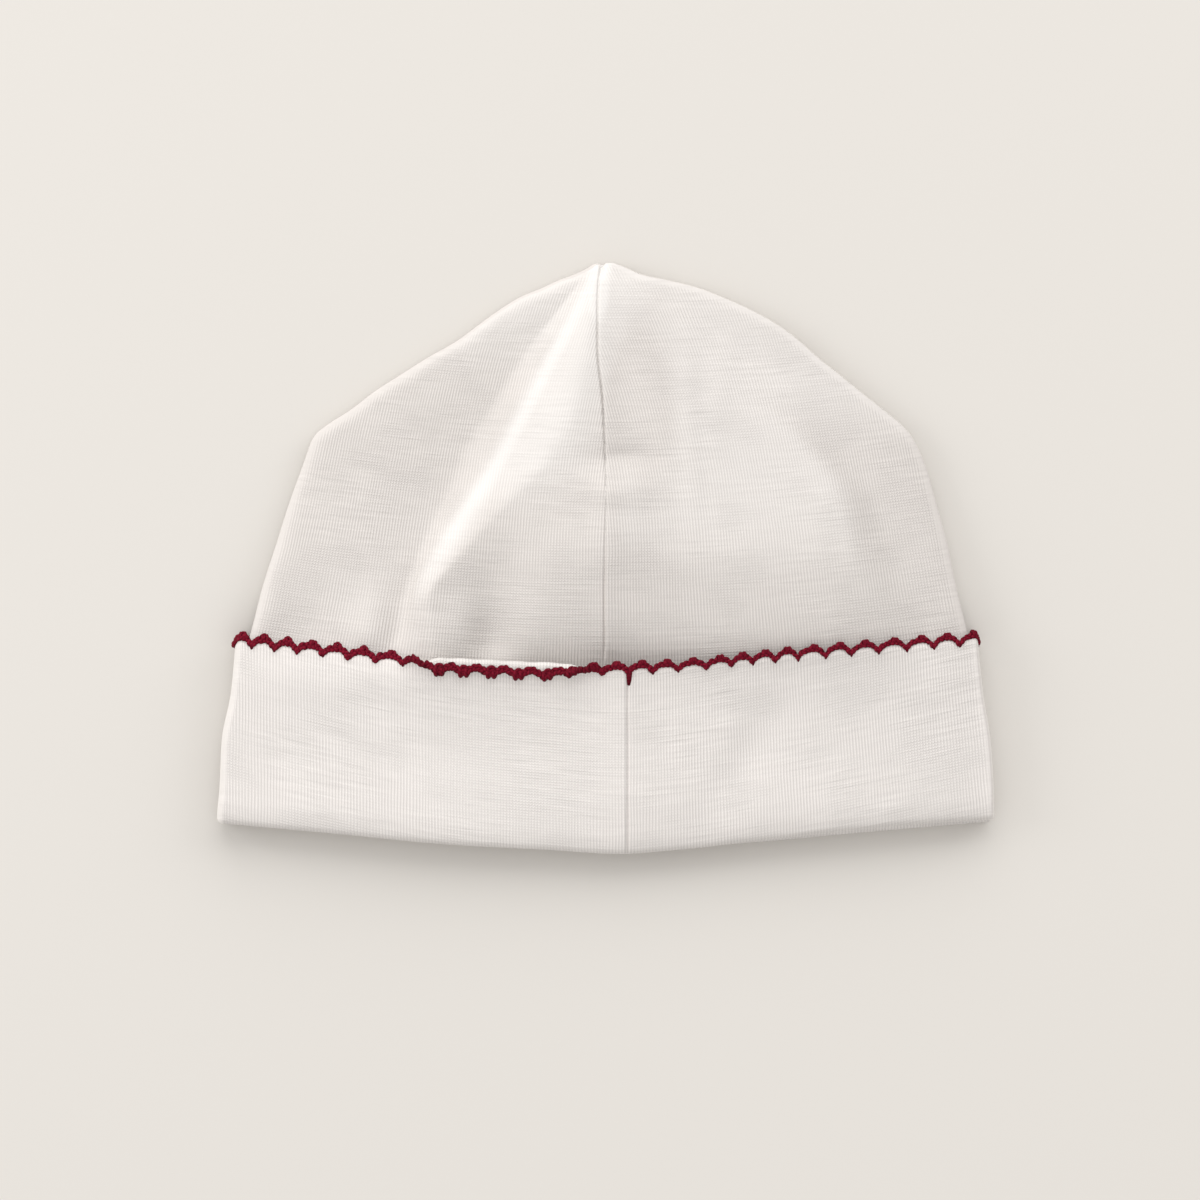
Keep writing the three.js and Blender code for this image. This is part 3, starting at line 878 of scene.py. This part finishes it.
def make_cuff(material):
    """The turned-up band: its outer leg, the fold and a short inner leg."""
    s = cuff_lengths()
    x = edge_across(s)
    side, t = edge_station(s)
    base = np.where(side == BACK, back_fold_edge(x), fold_edge(x)) + FOLD_RADIUS
    height, depth = cuff_rows(s, base)
    points, across, period, from_edge = layer_points(CUFF, side, t, height, depth)
    steps = np.hypot(np.diff(height, axis=0, prepend=height[:1]), np.diff(depth, axis=0, prepend=depth[:1]))
    along = -np.cumsum(steps, axis=0)
    fold_starts = len(HEM_ROWS) + len(LEG_ROWS) - 1
    along += -along[fold_starts] - COURSE_SMILE * x ** 2
    on_left = (side == FACE_LEFT) | (side == LEFT_RIM)
    # The cuff gets no painted highlight, only its open knit.
    painted_highlight_and_openness = -dents(points[..., 0], points[..., 1], CUFF_OPEN) * on_left
    uv = np.stack([across, along, from_edge, painted_highlight_and_openness], axis=-1)
    surface = Surface()
    surface.add_grid(points[::-1], uv[::-1], period[::-1, 0], closed_rows=True)
    return add_piece("cuff_jersey", surface, material, "cuff")


# ---- crochet

# Thickness of the crochet across the front. It is thinner where it is stretched.
CORD_SIZES = [
    # x, size
    (-80, 1.06),
    (-44, 1.04),
    (-36, 1.3),
    (-6, 1.25),
    (2, 1),
    (18, 0.88),
    (80, 0.86),
]
BACK_CORD_SIZE = 0.95
BRAID = Named(
    strands=3, yarn=0.36, sway=0.45, lift=0.3, pitch=3.2, samples=16, bulge=0.25, slip=0.5,
    steepest=1.5, measured_at=6000,
)
SEAT = Named(
    beyond=0.55, arched=0.15, stitched=0.05, reach=1.1, out=0.3, stitched_out=0.7, out_back=-0.25,
)
PICOT = Named(
    phase=0.56, radius=0.54, yarn=0.27, rise=0.45, rise_right=0.35, rise_curled=-0.4, tall=1.1, lean=12,
    lean_right=68, lean_varies=16, right_from=(-5, 5), sizes=(0.88, 1.1), shift=0.05,
    back_curled=0.5, samples=18,
)
KNOB = Named(
    radius=0.62, yarn=0.33, spacing=1.0, growth=0.12, width=0.13, beyond=0.3, flat=0.8, slant=0.25,
    sizes=(0.94, 1.06), samples=16,
)
STITCH = Named(
    spread=0.3, above=0.35, depth=0.75, depths=(0.9, 1.15), yarn=0.3, thinner=0.85, out=0.85, sunk=0.3,
    samples=9, most_curl=0.2,
)
TAIL = Named(at=4.9, depth=2.7, yarn=0.56, spread=0.25)
# The work is uneven: waves in its thickness and in how it lies.
UNEVEN = [
    # wavelength, share, start
    (1.9, 0.4, 0.7),
    (3.3, 0.35, 2.1),
    (7.7, 0.25, 4),
]
UNEVENNESS = 0.1
YARN_STARTS_TO = [0.3, 0.2, 1.0]  # a direction that no yarn starts along
LOWEST = [-np.inf, -np.inf, 0.02]  # the crochet is pressed flat where it lies on the table

(cord_size_in_front,) = curves(CORD_SIZES)
random = np.random.default_rng(11)


def cord_size(s):
    return np.where(in_front(s), cord_size_in_front(edge_across(s)), BACK_CORD_SIZE)


def uneven(s, start=0.0):
    """A slow irregular wave along the edge, from -1 to 1."""
    return sum(share * np.sin(2 * np.pi * s / wave + first + start) for wave, share, first in UNEVEN)


def edge_points(s, beyond, offset):
    """Points at lengths round the cuff's edge, past it and out from the cloth."""
    side, t = edge_station(s)
    return layer_points(CUFF, side, t, *edge_section(s, beyond, offset))[0]


def cord_seat(s):
    """Middle of the crochet's cord, as its place past the edge and out of the cloth."""
    phase, i = scallop(s)
    pitch = (STITCHES[1:] - STITCHES[:-1])[i]
    near = np.minimum(phase, 1 - phase) * pitch
    free = np.maximum(smoothstep(near, 0, SEAT.reach), curl_amount(s))
    beyond = lerp(SEAT.stitched, SEAT.beyond, free) + SEAT.arched * np.sin(np.pi * phase)
    out = lerp(SEAT.stitched_out, SEAT.out, free) * (1 - 2 * curl_amount(s))
    return beyond, np.where(in_front(s), out, SEAT.out_back)


def directions(path, closed):
    """Two directions across a path at each of its points, which hardly twist along it."""
    if closed:
        tangents = np.roll(path, -1, axis=0) - np.roll(path, 1, axis=0)
    else:
        tangents = np.gradient(path, axis=0)
    tangents /= np.linalg.norm(tangents, axis=1)[:, None]
    normal = np.cross(tangents[0], YARN_STARTS_TO)
    normals = np.empty_like(path)
    for k, tangent in enumerate(tangents):
        normal = normal - tangent * np.dot(normal, tangent)
        normal /= np.linalg.norm(normal)
        normals[k] = normal
    if closed:
        last = normals[-1] - tangents[0] * np.dot(normals[-1], tangents[0])
        off = math.atan2(np.dot(np.cross(last, normals[0]), tangents[0]), np.dot(last, normals[0]))
        untwist = (off * np.arange(len(path)) / len(path))[:, None]
        normals = normals * np.cos(untwist) + np.cross(tangents, normals) * np.sin(untwist)
    return normals[:, None], np.cross(tangents, normals)[:, None]


def add_yarn(surface, path, radius, sides=8, closed=False, raised=0.8):
    """Adds a round yarn along a path.

    raised is how far each part stands out of the work, from 0 to 1; the yarn's material paints shade on the
    parts that lie lower.
    """
    count = len(path)
    path = np.maximum(path, LOWEST)
    normals, others = directions(path, closed)
    angle = 2 * np.pi * np.arange(sides) / sides
    radius = np.broadcast_to(radius, count)[:, None, None]
    points = path[:, None] + radius * (normals * np.cos(angle)[:, None] + others * np.sin(angle)[:, None])
    lengths = np.append(0, np.cumsum(np.linalg.norm(np.diff(path, axis=0), axis=1)))
    raised = np.broadcast_to(raised, count)[:, None]
    uv = np.stack(np.broadcast_arrays(angle[None] / (2 * np.pi), lengths[:, None], raised, 0.0), axis=-1)
    tips = (None, None) if closed else (path[0], path[-1])
    surface.add_grid(np.maximum(points, LOWEST), uv, np.ones(count), closed_rows=closed, tips=tips)


def braid_places():
    """Lengths round the edge at even steps along the cord, and how often it turns."""
    fine = np.linspace(0, EDGE_LENGTH, BRAID.measured_at, endpoint=False) + EDGE_START
    middle = edge_points(fine, *cord_seat(fine))
    steps = np.linalg.norm(np.roll(middle, -1, axis=0) - middle, axis=1)
    lengths = np.append(0, np.cumsum(steps))
    turns = round(lengths[-1] / BRAID.pitch)
    count = turns * BRAID.samples
    at = np.arange(count) * lengths[-1] / count
    return np.interp(at, lengths, np.append(fine, fine[0] + EDGE_LENGTH)), turns


def add_braid(surface):
    """The cord itself: three yarns braided along the scallops."""
    s, turns = braid_places()
    beyond, out = cord_seat(s)
    height, _ = edge_section(s, beyond, out)
    ahead = np.roll(s, -1) - np.roll(s, 1)
    ahead[[0, -1]] += EDGE_LENGTH
    climb = np.clip((np.roll(height, -1) - np.roll(height, 1)) / ahead, -BRAID.steepest, BRAID.steepest)
    tilt = np.hypot(1, climb)
    phase, _ = scallop(s)
    peak = bell(phase - PICOT.phase, KNOB.width)
    size = cord_size(s) * (1 + KNOB.growth * peak + UNEVENNESS * uneven(s))
    beyond = beyond + UNEVENNESS * uneven(s, 1.5)
    hang = 1 - 2 * curl_amount(s)
    for strand in range(BRAID.strands):
        turn = 2 * np.pi * (np.arange(len(s)) * turns / len(s) + strand / BRAID.strands)
        turn += BRAID.slip * uneven(s, strand)
        sway = BRAID.sway * size * np.sin(turn)
        lift = BRAID.lift * size * np.sin(2 * turn)
        yarn = BRAID.yarn * size * (1 + BRAID.bulge * np.sin(2 * turn))
        path = edge_points(s - sway * climb / tilt * hang, beyond + sway / tilt, out + lift)
        # Strands that lie deeper in the braid, as seen, get painted shade.
        add_yarn(surface, path, yarn, closed=True, raised=0.5 + 0.5 * np.sin(2 * turn) * hang)


def add_picot(surface, s0):
    """A small loop of yarn that stands on the peak of a scallop."""
    right = smoothstep(edge_across(s0), *PICOT.right_from)
    left = np.where(in_front(s0), 1 - right, 0)
    size = cord_size(s0) * random.uniform(*PICOT.sizes)
    curl = curl_amount(s0)
    varies = random.uniform(-PICOT.lean_varies, PICOT.lean_varies)
    tilt = math.radians(lerp(PICOT.lean_right, PICOT.lean, left) + varies)
    beyond, out = cord_seat(s0)
    angle = np.linspace(0, 2 * np.pi, PICOT.samples, endpoint=False)
    radius = PICOT.radius * size
    rise = size * lerp(lerp(PICOT.rise_right, PICOT.rise, left), PICOT.rise_curled, curl)
    path = edge_points(
        s0 + radius * np.cos(angle) * math.cos(tilt),
        beyond + rise + radius * PICOT.tall * np.sin(angle),
        out - PICOT.back_curled * curl + radius * np.cos(angle) * math.sin(tilt),
    )
    add_yarn(surface, path, PICOT.yarn * size, closed=True)


def add_knob(surface, s0):
    """Two wraps of yarn round the cord, below a picot."""
    size = cord_size(s0)
    angle = np.linspace(0, 2 * np.pi, KNOB.samples, endpoint=False)
    for place in (-0.5, 0.5):
        at = s0 + place * KNOB.spacing * size
        beyond, out = cord_seat(at)
        radius = KNOB.radius * size * random.uniform(*KNOB.sizes)
        path = edge_points(
            at + KNOB.slant * np.sin(angle),
            beyond + KNOB.beyond + radius * np.cos(angle),
            out + KNOB.flat * radius * np.sin(angle),
        )
        add_yarn(surface, path, KNOB.yarn * size, sides=7, closed=True)


def add_stitch(surface, s0):
    """The legs of yarn that hold a valley down, before and behind the cloth."""
    is_tail = math.isclose(s0, TAIL.at)
    size = float(cord_size(s0))
    depth = TAIL.depth if is_tail else STITCH.depth * random.uniform(*STITCH.depths)
    yarn = TAIL.yarn if is_tail else STITCH.yarn
    spread = TAIL.spread if is_tail else STITCH.spread
    k = np.linspace(0, 1, STITCH.samples)
    beyond, _ = cord_seat(s0)
    for face in (1, -1):
        for leg in (-1, 1):
            path = edge_points(
                s0 + leg * spread * size * (1 - k) ** 1.3,
                lerp(beyond + STITCH.above, -depth, k),
                face * lerp(STITCH.out * size, STITCH.sunk, k ** 2.5),
            )
            radius = yarn * size * lerp(1, STITCH.thinner, k)
            # The legs get painted shade as they sink into the cloth.
            add_yarn(surface, path, radius, sides=7, raised=lerp(0.8, 0.3, k))


def make_edging(material):
    """The crocheted cord with its picots and the stitches that hold it."""
    surface = Surface()
    add_braid(surface)
    for i in range(len(STITCHES) - 1):
        phase = PICOT.phase + random.uniform(-PICOT.shift, PICOT.shift)
        peak = lerp(STITCHES[i], STITCHES[i + 1], phase)
        add_knob(surface, peak)
        add_picot(surface, peak)
        if curl_amount(STITCHES[i]) < STITCH.most_curl:
            add_stitch(surface, STITCHES[i])
    return add_piece("picot_crochet", surface, material, "picot_edging")


# ---- materials

class Nodes:
    """Builds a material's nodes. A value is a number, a colour or an output."""

    def __init__(self, name):
        self.material = bpy.data.materials.new(name)
        self.material.use_nodes = True
        self.tree = self.material.node_tree
        self.shader = self.tree.nodes["Principled BSDF"]

    def put(self, socket, value):
        if isinstance(value, bpy.types.NodeSocket):
            self.tree.links.new(value, socket)
        else:
            socket.default_value = value

    def add(self, kind, inputs, **settings):
        node = self.tree.nodes.new(kind)
        for name, value in settings.items():
            setattr(node, name, value)
        for name, value in inputs.items():
            self.put(node.inputs[name], value)
        return node

    def math(self, operation, *values):
        return self.add("ShaderNodeMath", dict(enumerate(values)), operation=operation).outputs[0]

    def times(self, a, b):
        return self.math("MULTIPLY", a, b)

    def cloth_coordinates(self, layer="knit"):
        uv = self.add("ShaderNodeUVMap", {}, uv_map=layer)
        parts = self.add("ShaderNodeSeparateXYZ", {"Vector": uv.outputs["UV"]})
        return parts.outputs["X"], parts.outputs["Y"]

    def noise(self, u, v, width, height, detail=2.0, shift=0.0):
        """Noise from 0 to 1, stretched to a width and a height in millimetres."""
        place = self.add("ShaderNodeCombineXYZ", {
            "X": self.math("DIVIDE", u, width),
            "Y": self.math("DIVIDE", v, height),
            "Z": shift,
        })
        inputs = {"Vector": place.outputs[0], "Scale": 1.0, "Detail": detail}
        return self.add("ShaderNodeTexNoise", inputs).outputs[0]

    def ramp(self, value, low, high, to_low=0.0, to_high=1.0):
        inputs = {"Value": value, "From Min": low, "From Max": high, "To Min": to_low, "To Max": to_high}
        return self.add("ShaderNodeMapRange", inputs, interpolation_type="SMOOTHSTEP").outputs[0]

    def tint(self, colour, factor):
        """The colour times a grey factor."""
        return self.add("ShaderNodeVectorMath", {0: colour, 1: factor}, operation="MULTIPLY").outputs[0]

    def blend(self, colour, other, amount):
        """From one colour to another as the amount grows from 0 to 1."""
        node = self.add("ShaderNodeMix", {"Factor": amount}, data_type="RGBA")
        for socket, value in zip([s for s in node.inputs if s.type == "RGBA"], (colour, other)):
            socket.default_value = (*value, 1.0)
        return next(s for s in node.outputs if s.type == "RGBA")

    def bump(self, height, distance):
        node = self.add("ShaderNodeBump", {"Height": height, "Distance": distance * MM, "Strength": 1.0})
        self.put(self.shader.inputs["Normal"], node.outputs[0])

    def finish(self, *values):
        names = ("Roughness", "Specular IOR Level", "Sheen Weight", "Sheen Roughness", "Sheen Tint")
        for name, value in zip(names, values):
            self.shader.inputs[name].default_value = value
        return self.material


WALE = 0.68  # width of a column of stitches
COURSE = 0.6  # height of a row of stitches
PLY_PITCH = 0.7  # of the crochet yarn
CROWN_WHITE = (0.625, 0.592, 0.572)
# Colour of the painted highlight on the crown's cloth.
HIGHLIGHT_WHITE = (0.728, 0.706, 0.692)
CUFF_WHITE = (0.702, 0.670, 0.652)
BURGUNDY = (0.125, 0.0028, 0.0125)


def jersey(name, colour, slubs):
    """Slub jersey: V stitches in columns, and rows where the yarn is thicker.

    slubs is how much those rows show. The knit is smoother where it is pressed at an edge and under
    the painted highlight; the edges also get a painted rim highlight, and the grooves and holes are painted
    darker.
    """
    nodes = Nodes(name)
    maths = nodes.math
    u, v = nodes.cloth_coordinates()
    from_edge, painted_highlight_and_openness = nodes.cloth_coordinates("lie")
    # Near the side edges the cloth is pressed smoother and gets a painted rim highlight.
    pressed = nodes.ramp(from_edge, 0.6, 2.1, 1.0, 0.0)

    sway = nodes.times(maths("SUBTRACT", nodes.noise(u, v, 6.0, 14.0), 0.5), 0.6)
    column = maths("PINGPONG", maths("DIVIDE", maths("ADD", u, sway), WALE), 0.5)
    inside = nodes.times(column, 2.0)
    row = maths("ADD", maths("DIVIDE", v, COURSE), nodes.times(inside, 0.5))
    along = maths("COSINE", nodes.times(row, 2 * math.pi))
    open_rows = nodes.ramp(nodes.noise(u, v, 16.0, 12.0, shift=2.0), 0.42, 0.64, 0.14, 0.42)
    opened = nodes.ramp(painted_highlight_and_openness, -1.0, 0.0, 1.0, 0.0)
    open_rows = maths("MAXIMUM", open_rows, nodes.times(opened, 0.5))
    rib = nodes.ramp(inside, 0.0, 0.85)
    stitch = nodes.times(rib, maths("MULTIPLY_ADD", maths("SUBTRACT", along, 1.0), open_rows, 1.0))
    # The knit is smoothed at the edges and under the painted highlight.
    smooth = maths("MAXIMUM", pressed, nodes.times(painted_highlight_and_openness, 0.6))
    stitch = nodes.times(stitch, maths("SUBTRACT", 1.0, smooth))

    streak = maths("SUBTRACT", nodes.noise(u, v, 11.0, 0.85, shift=6.0), 0.5)
    patches = nodes.ramp(nodes.noise(u, v, 22.0, 16.0, shift=4.0), 0.36, 0.6, 0.25, 1.0)
    slub = nodes.times(streak, patches)
    clouds = maths("SUBTRACT", nodes.noise(u, v, 5.0, 4.0, detail=4.0, shift=9.0), 0.5)
    nodes.bump(maths("MULTIPLY_ADD", slub, 1.6, stitch), 0.1)

    # Painted shade: the knit's grooves and the holes between stitches are darker. Painted highlight: the
    # edges are lighter.
    shade = maths("MULTIPLY_ADD", stitch, 0.2, 0.83)
    for part, amount in ((smooth, 0.09), (opened, 0.045), (slub, slubs), (clouds, 0.03), (pressed, 0.03)):
        shade = maths("MULTIPLY_ADD", part, amount, shade)
    # Painted highlight: the crown turns whiter over its long fold, top lobes and right half.
    highlighted = nodes.blend(colour, HIGHLIGHT_WHITE, painted_highlight_and_openness)
    nodes.put(nodes.shader.inputs["Base Color"], nodes.tint(highlighted, shade))
    return nodes.finish(0.95, 0.15, 0.8, 0.4, (1.0, 0.98, 0.95, 1.0))


def crochet_cotton():
    """Burgundy mercerised yarn with a firm ply; its ply grooves and lower strands get painted shade."""
    nodes = Nodes("crochet_cotton_burgundy")
    maths = nodes.math
    u, v = nodes.cloth_coordinates()
    around = nodes.times(u, 2.0)
    twist = maths("ADD", around, maths("DIVIDE", v, PLY_PITCH))
    ply = maths("ABSOLUTE", maths("SINE", nodes.times(twist, math.pi)))
    fibres = nodes.noise(around, v, 0.2, 0.4, detail=3.0)
    nodes.bump(maths("MULTIPLY_ADD", fibres, 0.5, ply), 0.06)
    # Painted shade: the grooves between the plies and the strands that lie lower in the work are darker.
    raised, _ = nodes.cloth_coordinates("lie")
    shade = maths("MULTIPLY_ADD", ply, 0.5, 0.55)
    shade = nodes.times(shade, maths("MULTIPLY_ADD", fibres, 0.6, 0.7))
    shade = nodes.times(shade, maths("MULTIPLY_ADD", raised, 0.95, 0.4))
    nodes.put(nodes.shader.inputs["Base Color"], nodes.tint(BURGUNDY, shade))
    return nodes.finish(0.6, 0.08, 0.02, 0.4, (0.9, 0.4, 0.5, 1.0))


def floor_material():
    nodes = Nodes("pale_floor")
    nodes.shader.inputs["Base Color"].default_value = (0.704, 0.679, 0.646, 1.0)
    return nodes.finish(0.9, 0.1, 0.0, 0.5, (1.0, 1.0, 1.0, 1.0))


# ---- stage

def make_floor():
    size = 1.5
    depth = -0.0001
    corners = [(-size, -size, depth), (size, -size, depth), (size, size, depth), (-size, size, depth)]
    mesh = bpy.data.meshes.new("floor")
    mesh.from_pydata(corners, [], [(0, 1, 2, 3)])
    mesh.materials.append(floor_material())
    floor = add_object("floor", mesh)
    return floor


# The window lights all. The fill is for the hat and the low lights for the floor.
LIGHTS = [
    # name, azimuth, elevation, distance, size, power, colour
    ("window", 88, 33, 3.5, 3.5, 57, (1.0, 0.995, 0.98)),
    ("fill", 144, 43, 1.0, 0.95, 6.9, (1.0, 0.99, 0.97)),
    ("low_left", 165, 25, 1.0, 0.6, 2.6, (1.0, 1.0, 1.0)),
    ("low_right", 35, 25, 1.5, 0.9, 5.4, (1.0, 1.0, 1.0)),
]


def add_light(name, azimuth, elevation, distance, size, power, colour):
    """A square soft light that faces the hat from a compass direction."""
    data = bpy.data.lights.new(name, "AREA")
    data.size = size
    data.energy = power
    data.color = colour
    light = add_object(name, data)
    turn, rise = math.radians(azimuth), math.radians(elevation)
    direction = Vector((math.cos(turn) * math.cos(rise), math.sin(turn) * math.cos(rise), math.sin(rise)))
    light.location = direction * distance
    light.rotation_euler = direction.to_track_quat("Z", "Y").to_euler()
    return light


def light_only(light, pieces):
    """Keeps a light off everything but some pieces."""
    lit = bpy.data.collections.new(light.name + "_lights")
    for piece in pieces:
        lit.objects.link(piece)
    light.light_linking.receiver_collection = lit


def make_world(colour, strength):
    world = bpy.data.worlds.new("studio")
    world.use_nodes = True
    background = world.node_tree.nodes["Background"]
    background.inputs["Color"].default_value = colour
    background.inputs["Strength"].default_value = strength
    bpy.context.scene.world = world


def make_camera():
    """Straight above the hat, as wide as the view of the hat on its table."""
    data = bpy.data.cameras.new("camera")
    data.sensor_width = 36.0
    middle = (-0.00122, -0.00919)
    height = 1.2
    width = 0.2628  # of the view at the hat's level
    level = 0.006
    data.lens = data.sensor_width * (height - level) / width
    camera = add_object("camera", data)
    camera.location = (*middle, height)
    bpy.context.scene.camera = camera


# ---- assembly

crown = make_crown(jersey("jersey_crown", CROWN_WHITE, 0.2))
cuff = make_cuff(jersey("jersey_cuff", CUFF_WHITE, 0.24))
edging = make_edging(crochet_cotton())

floor = make_floor()
lights = {row[0]: add_light(*row) for row in LIGHTS}
lights["fill"].data.use_shadow = False
light_only(lights["fill"], [crown, cuff, edging])
light_only(lights["low_left"], [floor])
light_only(lights["low_right"], [floor])
make_world((1.0, 0.982, 0.958, 1.0), 0.785)
bpy.context.scene.view_settings.view_transform = "Standard"
make_camera()
